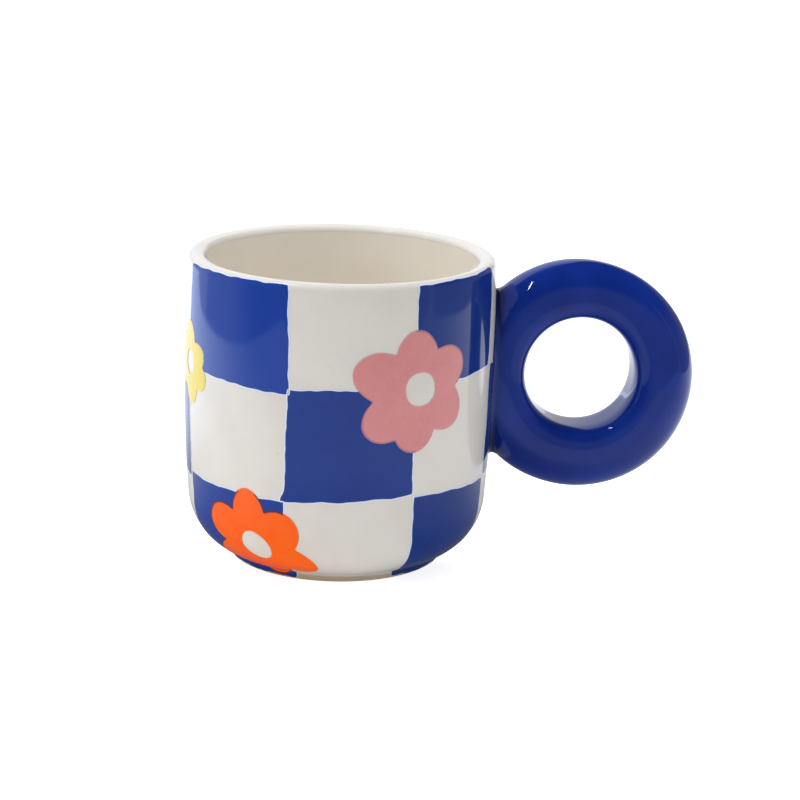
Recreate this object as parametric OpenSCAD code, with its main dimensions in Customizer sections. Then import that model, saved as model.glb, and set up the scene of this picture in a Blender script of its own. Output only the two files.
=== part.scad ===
// Hand-painted stoneware mug with a ring handle.
// Millimetres. Origin at the centre of the foot, on the table. +Z is up and +X runs to the handle.
// The clay parts are the cup, the ring handle and the slip that joins them.
// The rest are fired-on coats: the lining glaze, the blue checks and the painted flowers.

/* [Cup] */
// Widest outside diameter of the cup, a little above half height
cup_d = 89.4; // [86:0.2:94]
// Height from the table to the top of the lip
cup_h = 89; // [86:0.5:94]
// Thickness of the wall and of the rounded lip
wall = 5; // [4:0.1:5.6]
// Radius of the arc that gives the wall its faint barrel shape
barrel_r = 600; // [450:10:900]
// Height at which the cup is widest
barrel_z = 58; // [54:1:62]
// Outside radius of the turn from the wall into the base
corner_r = 18; // [17:0.5:19]
// Height at which the wall starts to turn in
corner_z = 18; // [17.4:0.2:19]

/* [Foot] */
// Outside diameter of the foot ring
foot_d = 62; // [58:0.5:64]
// Width of the dry ring that touches the table
foot_w = 4; // [3:0.2:5]
// Depth of the hollow inside the foot ring
foot_hollow = 1.5; // [1:0.1:2]
// Bevel on the edges of the foot ring
foot_bevel = 0.4; // [0.2:0.1:0.6]

/* [Handle] */
// Radius of the circle that the middle of the tube follows
ring_r = 24.5; // [23:0.1:26]
// Thickness of the tube
tube_d = 18.6; // [17:0.1:20]
// Width of the flat band that runs round the hole and round the outside, which makes the tube a little deep
tube_flat = 1.6; // [1:0.1:2]
// Distance from the cup's axis to the centre of the ring
ring_x = 69.3; // [68.5:0.1:70.5]
// Height of the centre of the ring
ring_z = 54.7; // [52:0.1:55]
// Thickness of the slip between the ring and the cup
slip_t = 0.4; // [0.3:0.1:0.6]
// How far the wiped slip stands out around the seam
slip_bead = 1.2; // [0.8:0.1:1.6]

/* [Paint] */
// Thickness of a painted coat
coat_t = 0.3; // [0.25:0.05:0.4]
// Height of the line between the low and the middle checks
low_z = 26.5; // [24:0.5:29]
// Height of the line between the middle and the top checks
mid_z = 58.5; // [56:0.5:61]
// Length of a petal, from the middle of a large flower to its tip
petal_l = 17.4; // [16:0.2:18.4]
// Length of a petal of a small flower
small_petal_l = 11.6; // [10:0.2:12.4]

/* [Hidden] */
$fn = 96;

// Outside of the cup: one long arc for the wall, and a tighter one that turns into the base.
barrel_x = cup_d / 2 - barrel_r;
corner_a = asin((corner_z - barrel_z) / barrel_r);
turn = on_barrel(barrel_r - corner_r, corner_a);
base_z = turn.y - corner_r;
fine = 1440;

// Lip: half a circle as wide as the wall, across the wall's slight lean.
lip_r = wall / 2;
lip_a = asin((cup_h - lip_r - barrel_z) / (barrel_r - lip_r));
lip = on_barrel(barrel_r - lip_r, lip_a);
lip_z = on_barrel(barrel_r, lip_a).y;

floor_z = base_z + wall;
// Lowest point of the painted coats, just above the foot ring.
coat_z = base_z + 1.3;
far = 70;

// Where one check ends and the next begins, in degrees from the handle; painted by eye, not even.
check_a = [-21, 21, 65, 109, 153, 197, 249, 295.5, 339];

// A flower: degrees from the handle, height, tilt of its face, petal length, turn of the first petal.
low_tilt = 24;
pink = [-62.3, 59.2, 0, petal_l, 92];
orange = [-124, 11.8, low_tilt, petal_l, 80];
yellow = [-162, 59.6, 0, small_petal_l, 70];
pink_back = [103, 12.4, low_tilt, petal_l, 90];
orange_back = [65, 58.5, 0, petal_l, 95];
yellow_back = [153, 70, 0, small_petal_l, 60];
FLOWERS = [pink, orange, yellow, pink_back, orange_back, yellow_back];
petals = 6;

function on_barrel(r, a) = [barrel_x + r * cos(a), barrel_z + r * sin(a)];

// Outline of the solid cup grown by t, from its axis outwards, up to the line across the lip.
module cup_outline(t, top) {
    knee = turn + (corner_r + t) * [cos(corner_a), sin(corner_a)];
    intersection() {
        translate([barrel_x, barrel_z]) circle(r = barrel_r + t, $fn = fine);
        polygon([[0, knee.y], [far, knee.y], [far, top], [0, top]]);
    }
    intersection() {
        translate(turn) circle(r = corner_r + t, $fn = 2 * $fn);
        polygon([turn - [0, far], [far, turn.y - far], [far, knee.y], [turn.x, knee.y]]);
    }
    polygon([[0, base_z - t], [turn.x, base_z - t], [turn.x, knee.y], [0, knee.y]]);
}

// The wall with its base, cut square to its own lean at the lip, and the round of the lip on it.
module cup_section() {
    across = [cos(lip_a), sin(lip_a)];
    difference() {
        cup_outline(0, cup_h + 10);
        cup_outline(-wall, cup_h + 20);
        polygon([lip - wall * across, lip + wall * across, [far, cup_h + 20], [0, cup_h + 20]]);
    }
    translate(lip) rotate(lip_a) intersection() {
        circle(r = lip_r);
        translate([-wall, 0]) square([2 * wall, wall]);
    }
}

// The foot ring, from the table up into the base.
module foot_section() {
    foot_r = foot_d / 2;
    rise = floor_z - 2;
    difference() {
        polygon([[0, 0], [foot_r - foot_bevel, 0], [foot_r, foot_bevel], [foot_r, rise], [0, rise]]);
        square([foot_r - foot_w, foot_hollow]);
    }
}

module cup_solid(t) {
    rotate_extrude($fn = 2 * $fn) cup_outline(t, cup_h + 5);
}

module ring(d) {
    translate([ring_x, 0, ring_z]) rotate([90, 0, 0]) rotate_extrude($fn = 2 * $fn) {
        for (side = [-1, 1]) translate([ring_r, side * tube_flat / 2]) circle(d = d);
        translate([ring_r - d / 2, -tube_flat / 2]) square([d, tube_flat]);
    }
}

// A coat on the outside of the cup from height z0 to z1, over part of a turn.
module coat(z0, z1, from, sweep) {
    rotate([0, 0, from]) rotate_extrude(angle = sweep, $fn = 2 * $fn) intersection() {
        difference() {
            cup_outline(coat_t, cup_h + 5);
            cup_outline(0, cup_h + 10);
        }
        translate([turn.x, z0]) square([far, z1 - z0]);
    }
}

// The outline of a flower run through the wall, square to the surface at its middle.
module flower_prism(f) {
    rotate([0, 0, f[0]]) translate([barrel_x + barrel_r, 0, f[1]]) rotate([0, 90 + f[2], 0])
        translate([0, 0, -16]) linear_extrude(26) rotate(f[4]) children();
}

module petals_outline(l) {
    petal_r = 0.365 * l;
    circle(r = 0.42 * l);
    for (i = [0:petals - 1]) rotate(i * 360 / petals) translate([l - petal_r, 0]) circle(r = petal_r);
}

module flower(f, tint) {
    color(tint) difference() {
        intersection() {
            coat(coat_z, lip_z, f[0] - 35, 70);
            flower_prism(f) petals_outline(f[3]);
        }
        flower_prism(f) circle(r = 0.27 * f[3]);
    }
}

// A blue check, painted round the flowers and the root of the handle.
module check(z0, z1, i) {
    color("royalblue") difference() {
        coat(z0, z1, check_a[i], check_a[i + 1] - check_a[i]);
        for (f = FLOWERS) flower_prism(f) petals_outline(f[3]);
        ring(tube_d + 2 * slip_bead);
    }
}

module cup_body() {
    color("ivory") rotate_extrude($fn = 2 * $fn) {
        cup_section();
        foot_section();
    }
}

module ring_handle() {
    color("mediumblue") difference() {
        ring(tube_d);
        cup_solid(slip_t);
    }
}

module handle_slip() {
    color("navy") difference() {
        intersection() {
            ring(tube_d + 2 * slip_bead);
            cup_solid(slip_bead);
        }
        cup_solid(0);
        ring_handle();
    }
}

module inside_glaze() {
    color("wheat") rotate_extrude($fn = 2 * $fn) difference() {
        cup_outline(-wall, lip_z - lip_r);
        cup_outline(-wall - coat_t, cup_h + 10);
    }
}

cup_body();
ring_handle();
handle_slip();
inside_glaze();
for (i = [1:4]) {
    check(coat_z, low_z, 2 * i - 1);
    check(low_z, mid_z, 2 * i - 2);
    check(mid_z, lip_z, 2 * i - 1);
}
flower(pink, "lightpink");  // flower_pink
flower(orange, "orangered");  // flower_orange
flower(yellow, "khaki");  // flower_yellow
flower(pink_back, "lightpink");  // flower_pink_back
flower(orange_back, "orangered");  // flower_orange_back
flower(yellow_back, "khaki");  // flower_yellow_back
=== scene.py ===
"""The looks of the hand-painted mug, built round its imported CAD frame."""
import math

import bpy
import numpy as np
from mathutils import Matrix, Quaternion, Vector


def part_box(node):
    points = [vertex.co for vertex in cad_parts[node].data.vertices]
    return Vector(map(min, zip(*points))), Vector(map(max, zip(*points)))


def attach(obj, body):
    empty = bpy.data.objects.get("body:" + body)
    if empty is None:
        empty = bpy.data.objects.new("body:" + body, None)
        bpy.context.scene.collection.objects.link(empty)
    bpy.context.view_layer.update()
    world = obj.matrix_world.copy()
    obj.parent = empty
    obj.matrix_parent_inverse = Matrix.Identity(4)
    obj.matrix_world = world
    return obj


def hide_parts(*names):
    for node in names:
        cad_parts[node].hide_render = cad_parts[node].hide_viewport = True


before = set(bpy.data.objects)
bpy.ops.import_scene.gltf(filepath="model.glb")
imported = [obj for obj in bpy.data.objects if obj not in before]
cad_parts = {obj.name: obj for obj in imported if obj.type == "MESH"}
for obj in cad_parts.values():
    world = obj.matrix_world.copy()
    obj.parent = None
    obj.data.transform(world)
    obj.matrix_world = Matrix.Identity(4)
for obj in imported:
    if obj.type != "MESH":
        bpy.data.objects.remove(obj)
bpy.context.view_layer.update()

MM = 0.001

# ---------------------------------------- sizes, in millimetres; the cup's height and the ring's box come from the CAD frame
ring_lo, ring_hi = (np.array(corner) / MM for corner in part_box("ring_handle"))

CUP_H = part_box("cup_body")[1][2] / MM
CUP_R = 44.7
WALL = 5.0
BARREL_R, BARREL_Z = 600.0, 58.0
CORNER_R, CORNER_Z = 18.0, 18.0
FOOT_R, FOOT_IN_R, FOOT_HOLLOW = 31.0, 27.0, 1.5
FOOT_EDGE_R = 0.45
FOOT_FILLET_R = 2.0
HOLLOW_FILLET_R = 0.8             # where the foot ring meets the hollow under the cup
LINING_T, LINING_SINK = 0.25, 0.3      # the lining's thickness, and how far it's bedded in the wall
LIP_OUT_R, LIP_IN_R = 2.1, 1.7      # the lip is rounded on both sides, and slopes a little into the cup
LIP_SLOPE = math.radians(15)
LIP_DIP = 0.7                     # how much lower the lip is at the front than at the back
LIP_DIP_FROM = 30.0               # height at which that dip begins

INNER_REACH, INNER_POWER = 0.95, 4.1   # the tube is squarer towards the hole than outside
TUBE_D, TUBE_DEPTH = 18.6, 1.10   # thickness in the ring's plane, and how much deeper the tube is across it
RING_OUT_R = (ring_hi[2] - ring_lo[2]) / 2
TUBE_R = 9.14                     # mean radius of the hand-formed tube
TUBE_SWELL = 0.55                 # the tube is fatter at the bottom of the ring than at the top
TUBE_SWELL_AT = math.radians(-86)
TUBE_PINCH = 0.45                 # and thinner at its upper right
TUBE_PINCH_AT = math.radians(62)
# The ring is not quite round. It stands out at its lower right and its upper left: by how much, and where.
RING_OVAL = ((0.55, math.radians(-48)), (0.40, math.radians(112)))
RING_R = RING_OUT_R - TUBE_D / 2
RING_X = ring_hi[0] - RING_OUT_R
RING_Z = (ring_hi[2] + ring_lo[2]) / 2

CHECK_H = 0.05                    # how far each coat of paint stands out from the white ground
PETAL_H = 0.10
COAT_SINK = 0.06

# ---------------------------------------- the cup's outline, as radius, height and normal
BARREL_X = CUP_R - BARREL_R
CORNER_A = math.asin((CORNER_Z - BARREL_Z) / BARREL_R)
TURN_X = BARREL_X + (BARREL_R - CORNER_R) * math.cos(CORNER_A)
TURN_Z = BARREL_Z + (BARREL_R - CORNER_R) * math.sin(CORNER_A)
LIP_Z = CUP_H - LIP_OUT_R
LIP_A = math.asin((LIP_Z - BARREL_Z) / BARREL_R)
LIP_X = BARREL_X + BARREL_R * math.cos(LIP_A) - LIP_OUT_R
LIP_IN_X = LIP_X + LIP_OUT_R - WALL + LIP_IN_R
LIP_FALL = (LIP_X - LIP_IN_X) * math.tan(LIP_SLOPE)
LIP_IN_Z = LIP_Z - LIP_FALL - (LIP_IN_R - LIP_OUT_R) / math.cos(LIP_SLOPE)
LIP_IN_A = math.asin((LIP_IN_Z - BARREL_Z) / (BARREL_R - WALL))
FLOOR_Z = TURN_Z - CORNER_R + WALL
FILLET_X = FOOT_R + FOOT_FILLET_R
FILLET_DROP = math.sqrt((CORNER_R + FOOT_FILLET_R) ** 2 - (FILLET_X - TURN_X) ** 2)
FILLET_Z = TURN_Z - FILLET_DROP
FILLET_A = math.atan2(FILLET_DROP, TURN_X - FILLET_X)
HOLLOW_X = FOOT_IN_R - HOLLOW_FILLET_R


def arc(x, z, radius, start, end, count, side=1):
    """Rows of (radius, height, normal r, normal z) along an arc; side is -1 where the arc is hollow."""
    a = np.linspace(start, end, count)
    c, s = np.cos(a), np.sin(a)
    return np.column_stack([x + radius * c, z + radius * s, side * c, side * s])


def line(p, q, normal, count):
    t = np.linspace(0, 1, count)[:, None]
    return np.hstack([np.array(p) * (1 - t) + np.array(q) * t, np.tile(normal, (count, 1))])


QUARTER, FULL = math.pi / 2, 2 * math.pi
# Bottom edge of the foot up to the lip's outer side: the surface that the paint lies on.
outside = np.vstack([
    arc(FOOT_R - FOOT_EDGE_R, FOOT_EDGE_R, FOOT_EDGE_R, -QUARTER, 0, 5),
    arc(FILLET_X, FILLET_Z, FOOT_FILLET_R, math.pi, FILLET_A, 9, -1),
    arc(TURN_X, TURN_Z, CORNER_R, FILLET_A - math.pi, CORNER_A, 26)[1:],
    arc(BARREL_X, BARREL_Z, BARREL_R, CORNER_A, LIP_A, 72)[1:],
])
lip = np.vstack([
    arc(LIP_X, LIP_Z, LIP_OUT_R, LIP_A, QUARTER + LIP_SLOPE, 11),
    arc(LIP_IN_X, LIP_IN_Z, LIP_IN_R, QUARTER + LIP_SLOPE, math.pi + LIP_IN_A, 9),
])
inside = np.vstack([
    arc(BARREL_X, BARREL_Z, BARREL_R - WALL, LIP_IN_A, CORNER_A, 60, -1),
    arc(TURN_X, TURN_Z, CORNER_R - WALL, CORNER_A, -QUARTER, 20, -1)[1:],
    line((TURN_X, FLOOR_Z), (0.0, FLOOR_Z), (0.0, 1.0), 12)[1:],
])
underside = np.vstack([
    line((0.0, FOOT_HOLLOW), (HOLLOW_X, FOOT_HOLLOW), (0.0, -1.0), 10),
    arc(HOLLOW_X, FOOT_HOLLOW - HOLLOW_FILLET_R, HOLLOW_FILLET_R, QUARTER, 0, 6, -1)[1:],
    arc(FOOT_IN_R + FOOT_EDGE_R, FOOT_EDGE_R, FOOT_EDGE_R, math.pi, 3 * QUARTER, 5),
])
painted = np.vstack([outside, lip[1:7]])
along = np.concatenate([[0], np.cumsum(np.hypot(*np.diff(painted[:, :2], axis=0).T))])

# ---------------------------------------- faint unevenness of the hand-finished glaze
rng = np.random.default_rng(7)


def waves(count, short, long, height):
    """Random plane waves: wave vectors, phases and heights."""
    d = rng.normal(size=(count, 3))
    d /= np.linalg.norm(d, axis=1)[:, None]
    length = rng.uniform(short, long, count)
    return d * (FULL / length)[:, None], rng.uniform(0, FULL, count), height * length / long


CUP_WAVES = waves(22, 14, 34, 0.0130)
RING_WAVES = waves(18, 9, 26, 0.0085)


def ripple(p, waveset):
    """Height and slope of the unevenness at the points p."""
    k, phase, height = waveset
    angle = p @ k.T + phase
    return np.sin(angle) @ height, (np.cos(angle) * height) @ k


def smooth(x, low, high):
    t = np.clip((x - low) / (high - low), 0, 1)
    return t * t * (3 - 2 * t)


def unit(v):
    return v / np.linalg.norm(v, axis=-1, keepdims=True)


def uneven(p, n, waveset, keep):
    """Moves points along their normals by the ripple times keep, and tilts the normals to match."""
    f, slope = ripple(p, waveset)
    across = slope - (slope * n).sum(-1, keepdims=True) * n
    return p + n * (f * keep)[..., None], unit(n - across * np.asarray(keep)[..., None])


def on_rows(rows, theta):
    """Points and normals where outline rows are turned to the angles theta."""
    c, s = np.cos(theta), np.sin(theta)
    p = np.stack([rows[..., 0] * c, rows[..., 0] * s, rows[..., 1]], -1)
    n = np.stack([rows[..., 2] * c, rows[..., 2] * s, rows[..., 3]], -1)
    p[..., 2] -= LIP_DIP * (0.5 - 0.5 * s) * smooth(p[..., 2], LIP_DIP_FROM, CUP_H)
    return p, n


def cup_keep(z):
    """The ripple fades out at the lip and the foot, whose heights are exact."""
    return smooth(z, 1.5, 7.0) * (1 - smooth(z, CUP_H - 7.0, CUP_H - 2.0))


def on_cup(theta, m, lift=0.0):
    """Point and normal on the painted side of the cup, m millimetres up from the foot's edge."""
    rows = np.stack([np.interp(m, along, painted[:, i]) for i in range(4)], -1)
    p, n = on_rows(rows, theta)
    n = unit(n)
    p, n = uneven(p, n, CUP_WAVES, cup_keep(p[..., 2]))
    return p + n * lift, n


def rise(z):
    """How far up the painted side the height z is."""
    return np.interp(z, painted[:, 1], along)


def radius_at(m):
    return np.interp(m, along, painted[:, 0])


# ---------------------------------------- meshes
def piece(name, verts, faces, normals, materials, node, face_material=None, fields=None):
    """A closed mesh, from millimetres, that stands for a CAD node and rides on the mug."""
    mesh = bpy.data.meshes.new(name)
    mesh.from_pydata((np.asarray(verts) * MM).tolist(), [], [tuple(f) for f in faces])
    mesh.shade_smooth()
    for material in materials:
        mesh.materials.append(material)
    if face_material is not None:
        mesh.polygons.foreach_set("material_index", np.asarray(face_material, dtype=np.int32))
    for field, values in (fields or {}).items():
        layer = mesh.attributes.new(field, "FLOAT", "POINT")
        layer.data.foreach_set("value", np.asarray(values, dtype=np.float32))
    mesh.normals_split_custom_set_from_vertices(np.asarray(normals).tolist())
    obj = bpy.data.objects.new(name, mesh)
    bpy.context.scene.collection.objects.link(obj)
    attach(obj, "root")
    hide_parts(node)
    return obj


def revolve(rows, steps, waveset=None):
    """Turns an outline whose two ends are on the axis. Returns vertices, normals and faces."""
    theta = np.arange(steps) * FULL / steps
    body = rows[1:-1]
    p, n = on_rows(np.repeat(body[:, None, :], steps, 1), np.tile(theta, (len(body), 1)))
    n = unit(n)
    if waveset is not None:
        p, n = uneven(p, n, waveset, cup_keep(p[..., 2]))
    ends = rows[[0, -1]]
    verts = np.vstack([p.reshape(-1, 3), [[0, 0, ends[0, 1]], [0, 0, ends[1, 1]]]])
    normals = np.vstack([n.reshape(-1, 3), [[0, 0, ends[0, 3]], [0, 0, ends[1, 3]]]])
    count = len(body)
    first, last = count * steps, count * steps + 1
    faces = []
    for j in range(steps):
        k = (j + 1) % steps
        faces.append((first, k, j))
        faces.append((last, (count - 1) * steps + j, (count - 1) * steps + k))
        for i in range(count - 1):
            faces.append((i * steps + j, i * steps + k, (i + 1) * steps + k, (i + 1) * steps + j))
    return verts, normals, faces


def coat(theta, m, faces, lift):
    """Closes a sheet of paint on the cup: its top, its underside just below the glaze, and its edge.

    Returns vertices, faces, normals and how many of the faces, the last ones, are the edge.
    """
    top, n = on_cup(theta, m, lift)
    bottom, _ = on_cup(theta, m, -COAT_SINK)
    count = len(top)
    edges = {}
    for face in faces:
        for a, b in zip(face, face[1:] + face[:1]):
            edges[a, b] = edges.get((a, b), 0) + 1
    rim = [(a, b) for a, b in edges if (b, a) not in edges]
    closed = list(faces)
    closed += [tuple(i + count for i in reversed(face)) for face in faces]
    closed += [(b, a, a + count, b + count) for a, b in rim]
    return np.vstack([top, bottom]), closed, np.vstack([n, n]), len(rim)


# ---------------------------------------- materials
def shader(name, roughness, coordinates="Object"):
    """A new material with a principled shader. Returns it with helpers to add and link nodes."""
    mat = bpy.data.materials.new(name)
    mat.use_nodes = True
    tree = mat.node_tree
    bsdf = tree.nodes["Principled BSDF"]
    bsdf.inputs["IOR"].default_value = 1.5
    bsdf.inputs["Roughness"].default_value = roughness
    where = tree.nodes.new("ShaderNodeTexCoord").outputs[coordinates]
    return mat, tree, bsdf, where


def noise(tree, where, scale, detail=2.0, stretch=None):
    if stretch is not None:
        mapping = tree.nodes.new("ShaderNodeMapping")
        mapping.inputs["Scale"].default_value = stretch
        tree.links.new(where, mapping.inputs["Vector"])
        where = mapping.outputs["Vector"]
    node = tree.nodes.new("ShaderNodeTexNoise")
    node.inputs["Scale"].default_value = scale
    node.inputs["Detail"].default_value = detail
    tree.links.new(where, node.inputs["Vector"])
    return node.outputs["Fac"]


def span(tree, value, low, high, to_low=0.0, to_high=1.0):
    node = tree.nodes.new("ShaderNodeMapRange")
    node.interpolation_type = "SMOOTHSTEP"
    for socket, number in zip(("From Min", "From Max", "To Min", "To Max"), (low, high, to_low, to_high)):
        node.inputs[socket].default_value = number
    tree.links.new(value, node.inputs["Value"])
    return node.outputs["Result"]


def math_node(tree, operation, a, b):
    node = tree.nodes.new("ShaderNodeMath")
    node.operation = operation
    for socket, value in zip(node.inputs, (a, b)):
        if isinstance(value, (int, float)):
            socket.default_value = value
        else:
            tree.links.new(value, socket)
    return node.outputs["Value"]


def blend(tree, factor, a, b):
    node = tree.nodes.new("ShaderNodeMix")
    node.data_type = "RGBA"
    inputs = {"factor": node.inputs[0], "a": node.inputs[6], "b": node.inputs[7]}
    for key, value in (("factor", factor), ("a", a), ("b", b)):
        if isinstance(value, tuple):
            inputs[key].default_value = (*value, 1.0)
        elif isinstance(value, (int, float)):
            inputs[key].default_value = value
        else:
            tree.links.new(value, inputs[key])
    return node.outputs[2]


def bump(tree, bsdf, height, depth):
    node = tree.nodes.new("ShaderNodeBump")
    node.inputs["Strength"].default_value = 1.0
    node.inputs["Distance"].default_value = depth
    tree.links.new(height, node.inputs["Height"])
    tree.links.new(node.outputs["Normal"], bsdf.inputs["Normal"])


def field(tree, name):
    node = tree.nodes.new("ShaderNodeAttribute")
    node.attribute_name = name
    return node.outputs["Fac"]


def glaze_finish(tree, bsdf, where, roughness, depth=4e-6):
    """Gloss that varies a little, and the faint orange-peel of a fired glaze."""
    tree.links.new(span(tree, noise(tree, where, 140), 0.3, 0.7, roughness * 0.8, roughness * 1.35),
                   bsdf.inputs["Roughness"])
    bump(tree, bsdf, noise(tree, where, 420, 3.0), depth)


def white_glaze():
    """Warm white ground with faint mottling and sparse iron specks; bare clay on the foot ring."""
    mat, tree, bsdf, where = shader("white_glaze", 0.12)
    mottle = span(tree, noise(tree, where, 55, 3.0), 0.35, 0.65)
    base = blend(tree, mottle, (0.768, 0.740, 0.700), (0.808, 0.782, 0.744))
    grain = span(tree, noise(tree, where, 700, 2.0), 0.45, 0.75, 0.0, 0.35)
    base = blend(tree, grain, base, (0.77, 0.745, 0.715))
    dots = tree.nodes.new("ShaderNodeTexVoronoi")
    dots.inputs["Scale"].default_value = 230
    tree.links.new(where, dots.inputs["Vector"])
    pick = tree.nodes.new("ShaderNodeSeparateColor")
    tree.links.new(dots.outputs["Color"], pick.inputs["Color"])
    chosen = span(tree, pick.outputs["Red"], 0.80, 0.81)
    spot = span(tree, dots.outputs["Distance"], 0.035, 0.075, 1.0, 0.0)
    speck = math_node(tree, "MULTIPLY", math_node(tree, "MULTIPLY", spot, chosen), 0.30)
    base = blend(tree, speck, base, (0.33, 0.25, 0.17))
    height = tree.nodes.new("ShaderNodeSeparateXYZ")
    tree.links.new(where, height.inputs["Vector"])
    wander = math_node(tree, "MULTIPLY", noise(tree, where, 90), 0.0007)
    bare = span(tree, math_node(tree, "ADD", height.outputs["Z"], wander), 0.0019, 0.0023, 1.0, 0.0)
    clay = blend(tree, noise(tree, where, 900, 4.0), (0.53, 0.42, 0.30), (0.68, 0.57, 0.43))
    tree.links.new(blend(tree, bare, base, clay), bsdf.inputs["Base Color"])
    gloss = span(tree, noise(tree, where, 140), 0.3, 0.7, 0.09, 0.15)
    rough = math_node(tree, "MAXIMUM", gloss, math_node(tree, "MULTIPLY", bare, 0.75))
    tree.links.new(rough, bsdf.inputs["Roughness"])
    bump(tree, bsdf, noise(tree, where, 420, 3.0), 4e-6)
    return mat


def lining_glaze():
    """Cream glaze inside the cup."""
    mat, tree, bsdf, where = shader("lining_glaze", 0.14)
    mottle = span(tree, noise(tree, where, 45, 3.0), 0.3, 0.7)
    base = blend(tree, mottle, (0.922, 0.868, 0.782), (0.945, 0.900, 0.824))
    tree.links.new(base, bsdf.inputs["Base Color"])
    glaze_finish(tree, bsdf, where, 0.13)
    return mat


def paint(name, thin, body, deep, rim, roughness=0.06, glow=None, seam=None, painted_reflection=None):
    """Colour under the glaze, uneven where the brush left more or less of it, with a rim at its edge.

    seam is the dark line where it overlaps blue paint. The lighter colour given for a whole sheet is a
    painted reflection and painted light, where the studio light falls on it.
    """
    mat, tree, bsdf, where = shader(name, roughness)
    base = blend(tree, span(tree, noise(tree, where, 60, 3.0), 0.35, 0.68), body, deep)
    base = blend(tree, span(tree, noise(tree, where, 30, 2.0), 0.50, 0.75, 0.0, 0.5), base, thin)
    base = blend(tree, span(tree, noise(tree, where, 900, 3.0), 0.40, 0.75, 0.0, 0.25), base, thin)
    # Painted reflection and painted light: the whole sheet is lightened by its own amount.
    if painted_reflection is not None:
        base = blend(tree, field(tree, "painted_reflection"), base, painted_reflection)
    base = blend(tree, span(tree, field(tree, "edge"), 0.0, 0.6, 0.75, 0.0), base, rim)
    if seam is not None:
        border = span(tree, field(tree, "edge"), 0.30, 0.75, 0.92, 0.0)
        base = blend(tree, math_node(tree, "MULTIPLY", border, field(tree, "over_blue")), base, seam)
    tree.links.new(base, bsdf.inputs["Base Color"])
    # Painted light: the paint glows faintly, though it is no lamp.
    if glow is not None:
        bsdf.inputs["Emission Color"].default_value = (*glow, 1.0)
        bsdf.inputs["Emission Strength"].default_value = 1.0
    glaze_finish(tree, bsdf, where, roughness)
    return mat


def bleed(name, colour):
    """The pale line where the colour has bled into the white glaze."""
    mat, tree, bsdf, where = shader(name, 0.10)
    base = blend(tree, noise(tree, where, 500, 2.0), colour, tuple(min(1.0, c * 1.06) for c in colour))
    tree.links.new(base, bsdf.inputs["Base Color"])
    glaze_finish(tree, bsdf, where, 0.11)
    return mat


def cobalt_glaze():
    """Deep glossy cobalt of the handle, breaking a little lighter where it runs thin, with painted shade
    where the ring meets the cup.
    """
    mat, tree, bsdf, where = shader("cobalt_glaze", 0.06)
    cloud = span(tree, noise(tree, where, 42, 3.0), 0.35, 0.7)
    base = blend(tree, cloud, (0.0030, 0.020, 0.205), (0.0045, 0.030, 0.280))
    grain = span(tree, noise(tree, where, 600, 3.0), 0.55, 0.8, 0.0, 0.3)
    base = blend(tree, grain, base, (0.007, 0.038, 0.300))
    # Painted shade: almost black where the ring meets the cup.
    base = blend(tree, field(tree, "joint_shade"), base, (0.0020, 0.0070, 0.050))
    tree.links.new(base, bsdf.inputs["Base Color"])
    glaze_finish(tree, bsdf, where, 0.045, 3e-6)
    return mat


WHITE = white_glaze()
LINING = lining_glaze()
COBALT = cobalt_glaze()
# The blue's lighter colour is a painted reflection and painted light on the checks that take it.
BLUE = paint("blue_paint", thin=(0.014, 0.050, 0.275), body=(0.009, 0.037, 0.230), deep=(0.007, 0.029, 0.190),
             rim=(0.010, 0.060, 0.360), painted_reflection=(0.015, 0.056, 0.360))
HALO = bleed("blue_bleed", (0.76, 0.82, 0.95))
PINK = paint("pink_paint", thin=(0.80, 0.36, 0.37), body=(0.755, 0.292, 0.300), deep=(0.70, 0.255, 0.268),
             rim=(0.80, 0.38, 0.39), seam=(0.40, 0.17, 0.27))
# The orange glows faintly: painted light.
ORANGE = paint("orange_paint", thin=(1.0, 0.20, 0.030), body=(1.0, 0.155, 0.008), deep=(1.0, 0.120, 0.004),
               rim=(1.0, 0.20, 0.012), glow=(0.07, 0.0, 0.0), seam=(0.0, 0.022, 0.030))
YELLOW = paint("yellow_paint", thin=(0.86, 0.72, 0.10), body=(0.84, 0.66, 0.020), deep=(0.83, 0.595, 0.012),
               rim=(0.87, 0.71, 0.07), seam=(0.55, 0.50, 0.22))

# ---------------------------------------- cup and lining
verts, normals, faces = revolve(np.vstack([underside, outside, lip[1:], inside[1:]]), 256, CUP_WAVES)
piece("cup", verts, faces, normals, [WHITE], "cup_body")

skin = inside.copy()
skin[:, :2] += skin[:, 2:] * (LINING_T * smooth(LIP_IN_Z - skin[:, 1], 0.0, 1.2))[:, None]
skin[-1, 0] = 0.0
back = inside[::-1].copy()
back[:, :2] -= back[:, 2:] * LINING_SINK
back[0, 0] = 0.0
back[:, 2:] *= -1
verts, normals, faces = revolve(np.vstack([back, skin]), 192)
piece("lining", verts, faces, normals, [LINING], "inside_glaze")


# ---------------------------------------- ring handle and the slip round its root
def lobe(u, at):
    """A smooth hump, one high, round the angle at."""
    return np.maximum(np.cos(u - at), 0) ** 4


def tube_radius(u):
    return TUBE_R + TUBE_SWELL * np.cos(u - TUBE_SWELL_AT) - TUBE_PINCH * lobe(u, TUBE_PINCH_AT)


def ring_radius(u):
    return RING_R + sum(height * lobe(u, at) for height, at in RING_OVAL)


def growth(radius, u, step=1e-3):
    """How fast a radius grows along the ring."""
    return ((radius(u + step) - radius(u - step)) / (2 * step))[..., None]


def section(v):
    """The tube's cut, one unit in radius: round outside, squarer towards the hole. Returns (out, across)."""
    c, s = np.cos(v), np.sin(v)
    inner = np.minimum(c, 0)
    squared = np.abs(inner / INNER_REACH) ** INNER_POWER + np.abs(s) ** INNER_POWER
    stretch = np.where(c < 0, squared ** (-1 / INNER_POWER), 1.0)
    return stretch * c, stretch * s * TUBE_DEPTH


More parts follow.
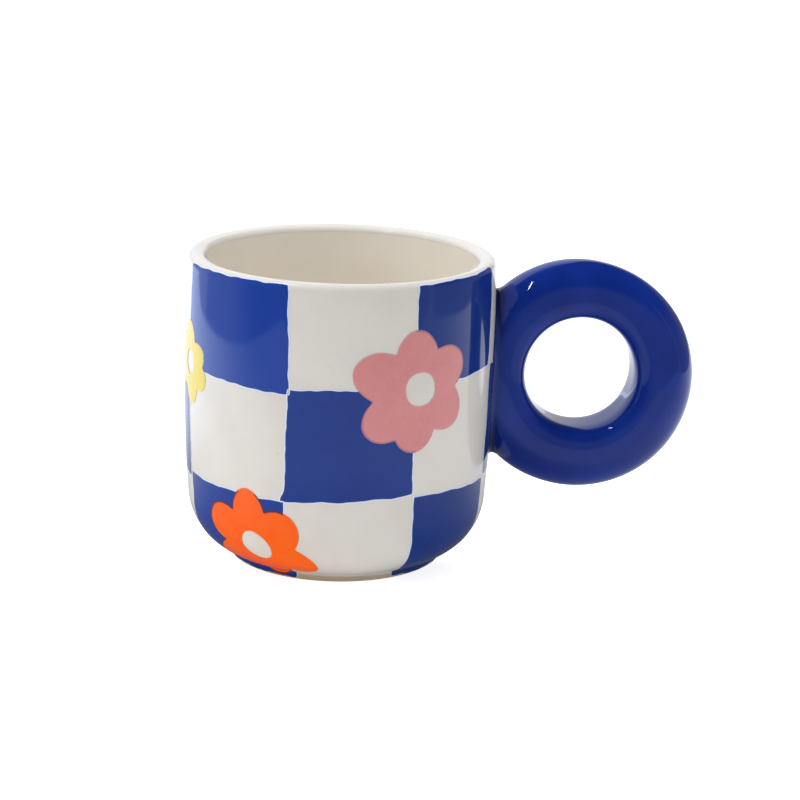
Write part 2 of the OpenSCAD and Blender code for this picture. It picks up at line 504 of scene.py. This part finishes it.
def on_ring(u, v):
    """Point and normal on the ring: u goes round it from its far side, v round the tube from its outside."""
    r, reach = tube_radius(u)[..., None], ring_radius(u)[..., None]
    out = np.stack([np.cos(u), 0 * u, np.sin(u)], -1)
    along_ring = np.stack([-np.sin(u), 0 * u, np.cos(u)], -1)
    side = np.array([0.0, 1.0, 0.0])
    x, y = (part[..., None] for part in section(v))
    step = 1e-3
    dx, dy = ((b - a)[..., None] / (2 * step) for a, b in zip(section(v - step), section(v + step)))
    p = np.array([RING_X, 0.0, RING_Z]) + out * (reach + r * x) + side * r * y
    round_tube = r * (out * dx + side * dy)
    round_ring = along_ring * (reach + r * x) + growth(tube_radius, u) * (out * x + side * y)
    round_ring += growth(ring_radius, u) * out
    n = unit(np.cross(round_tube, round_ring))
    clear = smooth(outside_of_cup(p), 1.5, 7.0) * (1 - smooth(p[..., 0], RING_X + 26, RING_X + 33))
    return uneven(p, n, RING_WAVES, clear)


def outside_of_cup(p):
    """How far outside the cup's wall the points are."""
    return np.hypot(p[..., 0], p[..., 1]) - np.interp(p[..., 2], painted[:, 1], painted[:, 0])


def painted_joint_shade(p):
    """Painted shade in the corner between the ring and the cup: how dark the glaze is painted there, most
    next to the cup and at the top and bottom of the root.
    """
    corner = smooth(np.hypot(p[..., 1], p[..., 2] - RING_Z), 12, 24)
    return (0.35 + 0.6 * corner) * (1 - smooth(outside_of_cup(p), 0.3, 4.0))


U_STEPS, V_STEPS = 288, 112
BURIED = -1.0                     # the ring's end stays this close to the wall's surface, inside the clay
u, v = np.meshgrid(np.arange(U_STEPS) * FULL / U_STEPS, np.arange(V_STEPS) * FULL / V_STEPS, indexing="ij")
p, n = on_ring(u, v)
too_deep = np.minimum(outside_of_cup(p) - BURIED, 0)
outward = unit(p * np.array([1.0, 1.0, 0.0]))
p = p - outward * too_deep[..., None]
index = np.arange(U_STEPS * V_STEPS).reshape(U_STEPS, V_STEPS)
right, up = np.roll(index, -1, 0), np.roll(index, -1, 1)
faces = np.stack([index, up, np.roll(right, -1, 1), right], -1).reshape(-1, 4)
p, n = p.reshape(-1, 3), n.reshape(-1, 3)
piece("handle_ring", p, faces.tolist(), n, [COBALT], "ring_handle",
      fields={"joint_shade": painted_joint_shade(p)})


def seam(turns):
    """Where the ring meets the cup, as an oval of points round the handle's root."""
    low, high = np.full_like(turns, 0.3), np.full_like(turns, 1.6)
    for _ in range(40):
        t = (low + high) / 2
        u = math.pi + t * math.radians(43) * np.cos(turns)
        v = t * math.radians(88) * np.sin(turns)
        inside_wall = outside_of_cup(on_ring(u, v)[0]) < 0
        low, high = np.where(inside_wall, t, low), np.where(inside_wall, high, t)
    return on_ring(u, v)[0]


SEAM_STEPS, SLIP_STEPS = 220, 12
SLIP_LIFT, SLIP_SINK = 0.12, -0.35    # its edges stand just proud of the glaze, and are closed under it
SLIP_PULL = 0.42                  # how hollow the fillet is
SLIP_KEY = 0.8                    # how far its underside reaches into the seam
turns = np.arange(SEAM_STEPS) * FULL / SEAM_STEPS
s = seam(turns)
forward = unit(np.roll(s, -1, 0) - np.roll(s, 1, 0))
centre = s.mean(0)
width = 1.7 + 1.1 * smooth(np.abs(s[:, 2] - centre[2]), 12, 25) + 0.2 * np.sin(3 * turns + 0.6)


def slip_edge(project, reach):
    """One long edge of the slip: points, normals, the direction back to the seam, and the sunk edge below."""
    _, normal = project(s, 0.0)
    away = np.cross(forward, normal)
    away *= np.sign(((s - centre) * away).sum(-1, keepdims=True))
    tip, tip_n = project(s + away * (width * reach)[:, None], SLIP_LIFT)
    toward = s - tip
    toward -= (toward * tip_n).sum(-1, keepdims=True) * tip_n
    return tip, tip_n, unit(toward), tip + tip_n * (SLIP_SINK - SLIP_LIFT)


def to_ring(q, lift):
    u = np.arctan2(q[:, 2] - RING_Z, q[:, 0] - RING_X)
    spoke = np.hypot(q[:, 2] - RING_Z, q[:, 0] - RING_X) - ring_radius(u)
    p, n = on_ring(u, np.arctan2(q[:, 1] / TUBE_DEPTH, spoke))
    return p + n * lift, n


def to_cup(q, lift):
    return on_cup(np.arctan2(q[:, 1], q[:, 0]), rise(q[:, 2]), lift)


# The slip's edge on the ring is a, and its edge on the cup is b. A hollow curve joins them.
a, a_n, a_back, a_sunk = slip_edge(to_ring, 1.2)
b, b_n, b_back, b_sunk = slip_edge(to_cup, 1.0)
pull = np.linalg.norm(b - a, axis=1)[:, None] * SLIP_PULL
rows = []
for t in np.linspace(0, 1, SLIP_STEPS):
    rows.append((1 - t) ** 3 * a + 3 * t * (1 - t) ** 2 * (a + a_back * pull)
                + 3 * t * t * (1 - t) * (b + b_back * pull) + t ** 3 * b)
rows = np.array(rows)
slip_n = unit(np.cross(np.gradient(rows, axis=0), np.roll(rows, -1, 1) - np.roll(rows, 1, 1)))
slip_n *= np.sign((slip_n * (a_n + b_n)).sum(-1, keepdims=True))
slip_n[0], slip_n[-1] = a_n, b_n
middle_n = unit(a_n + b_n)
rows = np.concatenate([rows, b_sunk[None], (s - middle_n * SLIP_KEY)[None], a_sunk[None]])
slip_n = np.concatenate([slip_n, b_n[None], -middle_n[None], a_n[None]])
index = np.arange(len(rows) * SEAM_STEPS).reshape(len(rows), SEAM_STEPS)
down, on = np.roll(index, -1, 0), np.roll(index, -1, 1)
faces = np.stack([index, down, np.roll(down, -1, 1), on], -1).reshape(-1, 4)
rows, slip_n = rows.reshape(-1, 3), slip_n.reshape(-1, 3)
piece("handle_slip_fillet", rows, faces.tolist(), slip_n, [COBALT], "handle_slip",
      fields={"joint_shade": painted_joint_shade(rows)})


# ---------------------------------------- blue checks
# The waves of a brushed edge: heights and lengths, in millimetres.
BRUSH_WAVES = ((0.13, 16.0), (0.08, 7.0), (0.030, 3.4), (0.012, 1.7))


def brush(seed, size=1.0):
    """A wandering brushed edge: offset in millimetres along its length."""
    r = np.random.default_rng(seed)
    parts = []
    for height, length in BRUSH_WAVES:
        high = height * size * r.uniform(0.7, 1.3)
        k = FULL / (length * r.uniform(0.8, 1.25))
        parts.append((high, k, r.uniform(0, FULL)))
    return lambda x: sum(high * np.sin(k * x + phase) for high, k, phase in parts)


HALO_W = 0.38                     # width of the pale line round a check
CHECK_LOWEST = 0.12               # checks stop this far above the foot's edge
ROUND_BY, ROUND_OVER = 0.3, 0.7   # a check's corners are drawn in by this much, over about this length
TOE_H = 2.4                       # height of the toe that some checks have
GRID = 44


def sheet_axis(length):
    """Grid lines across a check: one at each side for the pale line round it, the rest even."""
    h = HALO_W / length
    return np.concatenate([[0.0], np.linspace(h, 1 - h, GRID), [1.0]])


def check(name, node, left, right, low, high, seed, toe=0.0, painted_reflection=0.0):
    """A blue square. left and right are degrees, at its bottom and its top; low and high are heights in
    millimetres, at its left and its right.

    toe is how many millimetres the bottom left corner spreads out. The last argument is how far the blue is
    lightened: a painted reflection and painted light where the studio light falls on that check.
    """
    m0, m1 = rise(np.array(low)), rise(np.array(high))
    mid_r = radius_at((m0.mean() + m1.mean()) / 2)
    wide = math.radians(right[0] - left[0]) * mid_r
    tall = m1.mean() - m0.mean()
    gu, gv = np.meshgrid(sheet_axis(wide), sheet_axis(tall), indexing="ij")
    edge_l, edge_r, edge_b, edge_t = (brush(seed * 4 + i) for i in range(4))

    def corner(x, length):
        return ROUND_BY * (np.exp(-x / ROUND_OVER) + np.exp(-(length - x) / ROUND_OVER))

    up_mm, over_mm = gv * tall, gu * wide
    shift_l = edge_l(up_mm) + corner(up_mm, tall) - toe * np.exp(-(up_mm / TOE_H) ** 2)
    shift_r = edge_r(up_mm) - corner(up_mm, tall)
    theta_l = np.radians(left[0] + (left[1] - left[0]) * gv) + shift_l / mid_r
    theta_r = np.radians(right[0] + (right[1] - right[0]) * gv) + shift_r / mid_r
    m_low = m0[0] + (m0[1] - m0[0]) * gu + edge_b(over_mm) + corner(over_mm, wide)
    m_high = m1[0] + (m1[1] - m1[0]) * gu + edge_t(over_mm) - corner(over_mm, wide)
    theta = (theta_l * (1 - gu) + theta_r * gu).ravel()
    m = np.maximum(m_low * (1 - gv) + m_high * gv, CHECK_LOWEST).ravel()
    edge = np.minimum.reduce([gu * wide, (1 - gu) * wide, gv * tall, (1 - gv) * tall]).ravel() - HALO_W

    n = GRID + 2
    faces, shade = [], []
    for i in range(n - 1):
        for j in range(n - 1):
            face = (i * n + j, (i + 1) * n + j, (i + 1) * n + j + 1, i * n + j + 1)
            middle = theta[list(face)].mean(), m[list(face)].mean()
            if not any(in_core(flower, *middle) for flower in FLOWERS):
                faces.append(face)
                at_foot = j == 0 and low[0] < 1
                shade.append(1 if i in (0, n - 2) or j == n - 2 or (j == 0 and not at_foot) else 0)
    used = sorted({i for face in faces for i in face})
    renumber = {old: new for new, old in enumerate(used)}
    faces = [tuple(renumber[i] for i in face) for face in faces]
    theta, m, edge = theta[used], m[used], edge[used]
    verts, closed, normals, rim = coat(theta, m, faces, CHECK_H)
    piece(name, verts, closed, normals, [BLUE, HALO], node, shade + shade + [1] * rim,
          {"edge": np.concatenate([edge, edge]), "painted_reflection": np.full(2 * len(edge), painted_reflection)})


# ---------------------------------------- flowers
class Flower:
    """A flower at so many degrees and so high up, in millimetres.

    Each petal is (degrees, length, half width). The centre is (half length, half width, degrees).
    """

    def __init__(self, name, colour, degrees, height, petals, centre):
        self.name, self.colour = name, colour
        self.theta, self.m = math.radians(degrees), float(rise(height))
        self.petals, self.centre = petals, centre

    def outline(self, angle):
        """Distance from the middle to the edge: the furthest of the oval petals in that direction."""
        reach = np.full_like(angle, 0.0)
        for degrees, length, half in self.petals:
            d = angle - math.radians(degrees)
            c, s = np.cos(d), np.sin(d)
            long = min(half * 1.25, length * 0.52)
            mid = length - long
            a = (c / long) ** 2 + (s / half) ** 2
            b = -2 * mid * c / long ** 2
            k = (mid / long) ** 2 - 1
            root = b * b - 4 * a * k
            far = np.where(root > 0, (-b + np.sqrt(np.maximum(root, 0))) / (2 * a), 0.0)
            reach = np.maximum(reach, np.where(far > 0, far, 0.0))
        return reach


CORE_MARGIN = 1.8                 # the blue stops under the petals, this far outside the flower's centre


def in_core(flower, theta, m):
    """Whether a spot of the painted side is in or near the flower's centre, which the blue leaves free."""
    over = (theta - flower.theta + math.pi) % FULL - math.pi
    return math.hypot(over * radius_at(flower.m), m - flower.m) < flower.centre[0] + CORE_MARGIN


LARGE = ((97, 17.0, 6.6), (31, 16.9, 6.7), (-38, 16.8, 7.0),
         (-98, 18.4, 6.4), (-142, 20.2, 6.7), (161, 20.5, 7.2))
LOW = ((100, 17.4, 5.4), (37, 15.8, 6.9), (-24, 17.6, 5.6),
       (-82, 16.0, 6.0), (-142, 19.5, 6.6), (154, 18.6, 5.8))
SMALL = ((95, 12.0, 4.3), (25, 10.2, 4.3), (-27, 11.4, 4.2),
         (-82, 12.0, 4.4), (-150, 11.2, 4.4), (152, 11.4, 4.4))
BACK_LARGE = ((88, 17.2, 6.5), (30, 17.0, 6.8), (-32, 17.6, 6.7),
              (-90, 17.0, 6.6), (-148, 17.4, 6.8), (146, 17.6, 6.6))

FLOWERS = (
    Flower("pink", PINK, -62.3, 59.2, LARGE, (4.9, 4.7, 70)),
    Flower("orange", ORANGE, -124.0, 11.8, LOW, (5.2, 4.2, 130)),
    Flower("yellow", YELLOW, -162.0, 59.6, SMALL, (3.6, 3.1, 80)),
    Flower("pink_back", PINK, 103.0, 12.4, BACK_LARGE, (4.9, 4.6, 20)),
    Flower("orange_back", ORANGE, 65.0, 58.5, BACK_LARGE, (5.0, 4.5, 100)),
    Flower("yellow_back", YELLOW, 153.0, 70.0, SMALL, (3.5, 3.2, 40)),
)

PETAL_TURNS, PETAL_RINGS = 288, 16
PETAL_RIM = 0.8                   # a petal's border is this wide, and has rows of its own
PETAL_LOWEST = 0.35               # petals stop this far above the foot's edge


def petals(flower, seed):
    """A flower's petals: one closed sheet of paint, with a hole for the white centre."""
    wander, inner_wander = brush(seed, 0.75), brush(seed + 50, 0.8)
    angle = np.arange(PETAL_TURNS) * FULL / PETAL_TURNS
    outer = flower.outline(angle)
    for _ in range(2):
        outer = (np.roll(outer, 1) + 2 * outer + np.roll(outer, -1)) / 4
    outer = outer + wander(angle * 12)
    long, short, lean = flower.centre
    d = angle - math.radians(lean)
    inner = long * short / np.hypot(short * np.cos(d), long * np.sin(d)) + inner_wander(angle * 5)
    border = np.array([0.0, 0.25, 0.5])
    rest = np.full(PETAL_RINGS + len(border), PETAL_RIM)
    inset = np.concatenate([border, rest])[:, None]
    outset = np.concatenate([rest, border[::-1]])[:, None]
    t = np.concatenate([np.zeros_like(border), np.linspace(0, 1, PETAL_RINGS), np.ones_like(border)])[:, None]
    reach = (inner + inset) * (1 - t) + (outer - outset) * t
    m = np.maximum(flower.m + reach * np.sin(angle), PETAL_LOWEST)
    theta = flower.theta + reach * np.cos(angle) / radius_at(m)
    n = PETAL_TURNS
    faces = []
    for i in range(len(t) - 1):
        for j in range(n):
            k = (j + 1) % n
            faces.append((i * n + j, (i + 1) * n + j, (i + 1) * n + k, i * n + k))
    edge = np.minimum(reach - inner, outer - reach).ravel()
    verts, closed, normals, _ = coat(theta.ravel(), m.ravel(), faces, PETAL_H)
    over_blue = np.array([on_blue(*spot) for spot in zip(theta.ravel(), m.ravel())], dtype=float)
    over_blue[(reach - inner < outer - reach).ravel()] = 0.0
    fields = {"edge": np.concatenate([edge, edge]), "over_blue": np.concatenate([over_blue, over_blue])}
    piece("petals_" + flower.name, verts, closed, normals, [flower.colour], "flower_" + flower.name,
          fields=fields)


# Each check: row, number, degrees of its left and right edges (bottom, top), heights of its lower and upper
# edges (left, right), then toe and the lightening of the blue, a painted reflection and painted light, where
# they aren't nothing. The painter worked by eye, so the lines lean and don't quite meet.
TOP = 88.5
CHECKS = (
    ("low", 1, (21.5, 21.0), (65.0, 64.6), (0.5, 0.5), (26.6, 27.0)),
    ("low", 2, (109.0, 108.6), (153.4, 153.0), (0.5, 0.5), (27.0, 26.2)),
    ("low", 3, (197.4, 197.2), (248.4, 248.8), (0.5, 0.5), (27.4, 27.1), 0.0, 0.7),
    ("low", 4, (298.4, 296.0), (339.0, 338.6), (0.5, 0.5), (28.6, 27.3)),
    ("mid", 1, (-21.5, -21.0), (21.0, 21.4), (27.4, 27.0), (60.7, 59.0)),
    ("mid", 2, (65.0, 65.6), (108.8, 109.0), (26.8, 27.0), (58.6, 58.2)),
    ("mid", 3, (153.0, 152.6), (197.0, 197.4), (26.4, 25.0), (58.8, 59.6)),
    ("mid", 4, (248.2, 249.2), (296.4, 295.2), (26.4, 28.4), (59.6, 60.8), 1.3, 0.3),
    ("top", 1, (21.2, 20.8), (65.0, 65.4), (59.0, 58.6), (TOP, TOP)),
    ("top", 2, (109.4, 109.0), (153.0, 152.6), (58.2, 58.8), (TOP, TOP)),
    ("top", 3, (197.2, 196.6), (250.6, 249.2), (58.9, 57.3), (88.2, TOP), 0.0, 1.0),
    ("top", 4, (295.2, 295.6), (337.4, 341.6), (59.2, 60.6), (TOP, 88.7), 0.0, 0.1),
)


def on_blue(theta, m):
    """Whether a spot of the painted side lies on one of the blue checks."""
    degrees, z = math.degrees(theta), float(np.interp(m, along, painted[:, 1]))
    for _, _, left, right, low, high, *_ in CHECKS:
        middle = (left[0] + right[0]) / 2
        turned = (degrees - middle + 180) % 360 - 180 + middle
        if left[0] < turned < right[0] and low[0] < z < high[0]:
            return True
    return False


for number, flower in enumerate(FLOWERS):
    petals(flower, 300 + number)
for number, (row, i, left, right, low, high, *toe_and_painted_reflection) in enumerate(CHECKS):
    check(f"blue_{row}_{i}", f"check_{row}_{i}", left, right, low, high, 21 + number, *toe_and_painted_reflection)

# ---------------------------------------- stage, light and camera
scene = bpy.context.scene
scene.view_settings.view_transform = "Standard"
ROOM, AMBIENT, BACKDROP = 0.05, 0.42, 0.90
FLOOR_LIT, FLOOR_SEEN = 0.22, 0.80     # the floor's own glow, as the mug's light and as the camera sees it


def world_light():
    """A dim room with a bright backdrop behind the mug and a lit strip to its right. The camera sees white.

    Only the glaze's mirror rays see the dim room. What lights the mug from all round is AMBIENT.
    """
    world = bpy.data.worlds.new("studio")
    world.use_nodes = True
    tree = world.node_tree
    tree.nodes.clear()
    where = tree.nodes.new("ShaderNodeTexCoord").outputs["Generated"]
    split = tree.nodes.new("ShaderNodeSeparateXYZ")
    tree.links.new(where, split.inputs["Vector"])
    x, y, z = (split.outputs[axis] for axis in "XYZ")
    near_edge = span(tree, x, -0.2, 0.3, 0.42, 0.86)
    backdrop = span(tree, math_node(tree, "SUBTRACT", y, near_edge), 0.0, 0.05)
    backdrop = math_node(tree, "MULTIPLY", backdrop, span(tree, z, 0.72, 0.78, BACKDROP, 0.2))
    side_x, side_y = math_node(tree, "MULTIPLY", x, 0.385), math_node(tree, "MULTIPLY", y, 0.923)
    aside = math_node(tree, "ADD", side_x, side_y)
    strip = span(tree, math_node(tree, "ABSOLUTE", aside, 0.0), 0.03, 0.05, 0.5, 0.0)
    strip = math_node(tree, "MULTIPLY", strip, span(tree, x, 0.1, 0.2))
    strip = math_node(tree, "MULTIPLY", strip, span(tree, z, 0.45, 0.6, 1.0, 0.0))
    wall = math_node(tree, "MULTIPLY", span(tree, x, -0.3, 0.1, 1.0, 0.0), span(tree, y, -0.5, 0.1, 0.0, 0.5))
    wall = math_node(tree, "MULTIPLY", wall, span(tree, z, 0.2, 0.6, 1.0, 0.0))
    rays = tree.nodes.new("ShaderNodeLightPath")
    glossy = rays.outputs["Is Glossy Ray"]
    ahead = span(tree, x, -0.5, 0.1, 0.0, 0.24)
    ahead = math_node(tree, "MULTIPLY", ahead, span(tree, z, 0.15, 0.55, 1.0, 0.0))
    lit = math_node(tree, "MULTIPLY", math_node(tree, "ADD", wall, ahead), glossy)
    room = math_node(tree, "ADD", span(tree, glossy, 0.0, 1.0, AMBIENT, ROOM), lit)
    level = math_node(tree, "MAXIMUM", math_node(tree, "MAXIMUM", backdrop, strip), room)
    level = math_node(tree, "MAXIMUM", level, rays.outputs["Is Camera Ray"])
    background = tree.nodes.new("ShaderNodeBackground")
    cool = math_node(tree, "MULTIPLY", span(tree, x, -0.3, 0.3, 1.0, 0.0), glossy)
    tree.links.new(blend(tree, cool, (1.0, 0.99, 0.975), (0.90, 0.97, 1.12)), background.inputs["Color"])
    tree.links.new(level, background.inputs["Strength"])
    output = tree.nodes.new("ShaderNodeOutputWorld")
    tree.links.new(background.outputs["Background"], output.inputs["Surface"])
    scene.world = world


def floor():
    """The pale table top. It ends in front of the mug and beside it, and is plain white to the camera.

    In the glaze it shows painted light as in a studio: brightest behind the mug and to its left, dimmer in
    front, with a painted shadow close to the mug.
    """
    front, back, left, right = -0.27, 4.0, -0.36, 0.48
    mesh = bpy.data.meshes.new("floor")
    corners = [(left, front - 0.12, 0), (0.08, front, 0), (right, front, 0), (right, 0.2, 0),
               (2.0, back, 0), (-2.0, back, 0), (left, 0.2, 0)]
    mesh.from_pydata(corners, [], [tuple(range(len(corners)))])
    mat = bpy.data.materials.new("floor")
    mat.use_nodes = True
    tree = mat.node_tree
    bsdf = tree.nodes["Principled BSDF"]
    bsdf.inputs["Base Color"].default_value = (0.86, 0.85, 0.83, 1)
    bsdf.inputs["Roughness"].default_value = 1.0
    bsdf.inputs["Specular IOR Level"].default_value = 0.0
    rays = tree.nodes.new("ShaderNodeLightPath")
    glow = span(tree, rays.outputs["Is Camera Ray"], 0.0, 1.0, FLOOR_LIT, FLOOR_SEEN)
    tree.links.new(glow, bsdf.inputs["Emission Strength"])
    bsdf.inputs["Emission Color"].default_value = (1, 1, 1, 1)
    split = tree.nodes.new("ShaderNodeSeparateXYZ")
    tree.links.new(tree.nodes.new("ShaderNodeTexCoord").outputs["Object"], split.inputs["Vector"])
    leftward = span(tree, split.outputs["X"], -0.26, -0.08, 1.0, 0.0)
    deep = span(tree, split.outputs["Y"], -0.20, 0.12)
    glare = math_node(tree, "ADD", math_node(tree, "MULTIPLY", leftward, 0.65), 0.75)
    reach = tree.nodes.new("ShaderNodeVectorMath")
    reach.operation = "LENGTH"
    tree.links.new(tree.nodes.new("ShaderNodeTexCoord").outputs["Object"], reach.inputs[0])
    # Painted shadow: as the glaze mirrors it, the floor darkens close to the mug.
    painted_floor_shadow = span(tree, reach.outputs["Value"], 0.03, 0.17, 0.12, 1.0)
    card = tree.nodes.new("ShaderNodeEmission")
    bright = math_node(tree, "ADD", math_node(tree, "MULTIPLY", deep, glare), 0.52)
    tree.links.new(math_node(tree, "MULTIPLY", bright, painted_floor_shadow), card.inputs["Strength"])
    tree.links.new(blend(tree, leftward, (0.95, 1.0, 1.08), (0.85, 0.98, 1.2)), card.inputs["Color"])
    either = tree.nodes.new("ShaderNodeMixShader")
    tree.links.new(rays.outputs["Is Glossy Ray"], either.inputs[0])
    tree.links.new(bsdf.outputs["BSDF"], either.inputs[1])
    tree.links.new(card.outputs["Emission"], either.inputs[2])
    tree.links.new(either.outputs["Shader"], tree.nodes["Material Output"].inputs["Surface"])
    mesh.materials.append(mat)
    obj = bpy.data.objects.new("floor", mesh)
    scene.collection.objects.link(obj)


def softbox(name, place, size, level, mirrored=True, turn=0.0):
    """An area light aimed at the mug, turned on its own axis. level is its brightness, where 1 is white."""
    light = bpy.data.lights.new(name, "AREA")
    light.shape = "RECTANGLE"
    light.size, light.size_y = size
    light.energy = level * math.pi * size[0] * size[1]
    obj = bpy.data.objects.new(name, light)
    obj.location = place
    aim = Vector((0.02, 0.0, 0.05)) - Vector(place)
    obj.rotation_euler = (aim.to_track_quat("-Z", "Y") @ Quaternion((0, 0, 1), math.radians(turn))).to_euler()
    obj.visible_glossy = mirrored
    scene.collection.objects.link(obj)


def camera():
    """Looks down on the mug from in front, with a long lens and a slight roll, as in the photograph."""
    place = Vector((-24.4, -613.3, 211.0)) * MM
    target = Vector((17.8, -0.7, 45.3)) * MM
    roll = math.radians(1.83)
    look = (target - place).normalized()
    right = look.cross(Vector((0, 0, 1))).normalized()
    up = right.cross(look)
    tilted_right = right * math.cos(roll) + up * math.sin(roll)
    tilted_up = up * math.cos(roll) - right * math.sin(roll)
    data = bpy.data.cameras.new("camera")
    data.sensor_width = 36.0
    data.lens = 98.4
    obj = bpy.data.objects.new("camera", data)
    turn = Matrix((tilted_right, tilted_up, -look)).transposed().to_4x4()
    obj.matrix_world = Matrix.Translation(place) @ turn
    scene.collection.objects.link(obj)
    scene.camera = obj


world_light()
floor()
softbox("canopy", (-0.34, -0.40, 0.86), (0.62, 0.40), 1.15, mirrored=False)
softbox("lamp", (-0.37, -0.15, 0.84), (0.36, 0.020), 28.0, turn=-30.0)
softbox("fill_left", (-1.05, -0.10, 0.55), (0.7, 0.6), 1.85, mirrored=False)
softbox("fill_right", (1.0, -0.25, 0.45), (0.6, 0.6), 0.65, mirrored=False)
softbox("fill_above", (0.0, 0.10, 1.25), (1.0, 1.0), 2.5, mirrored=False)
camera()
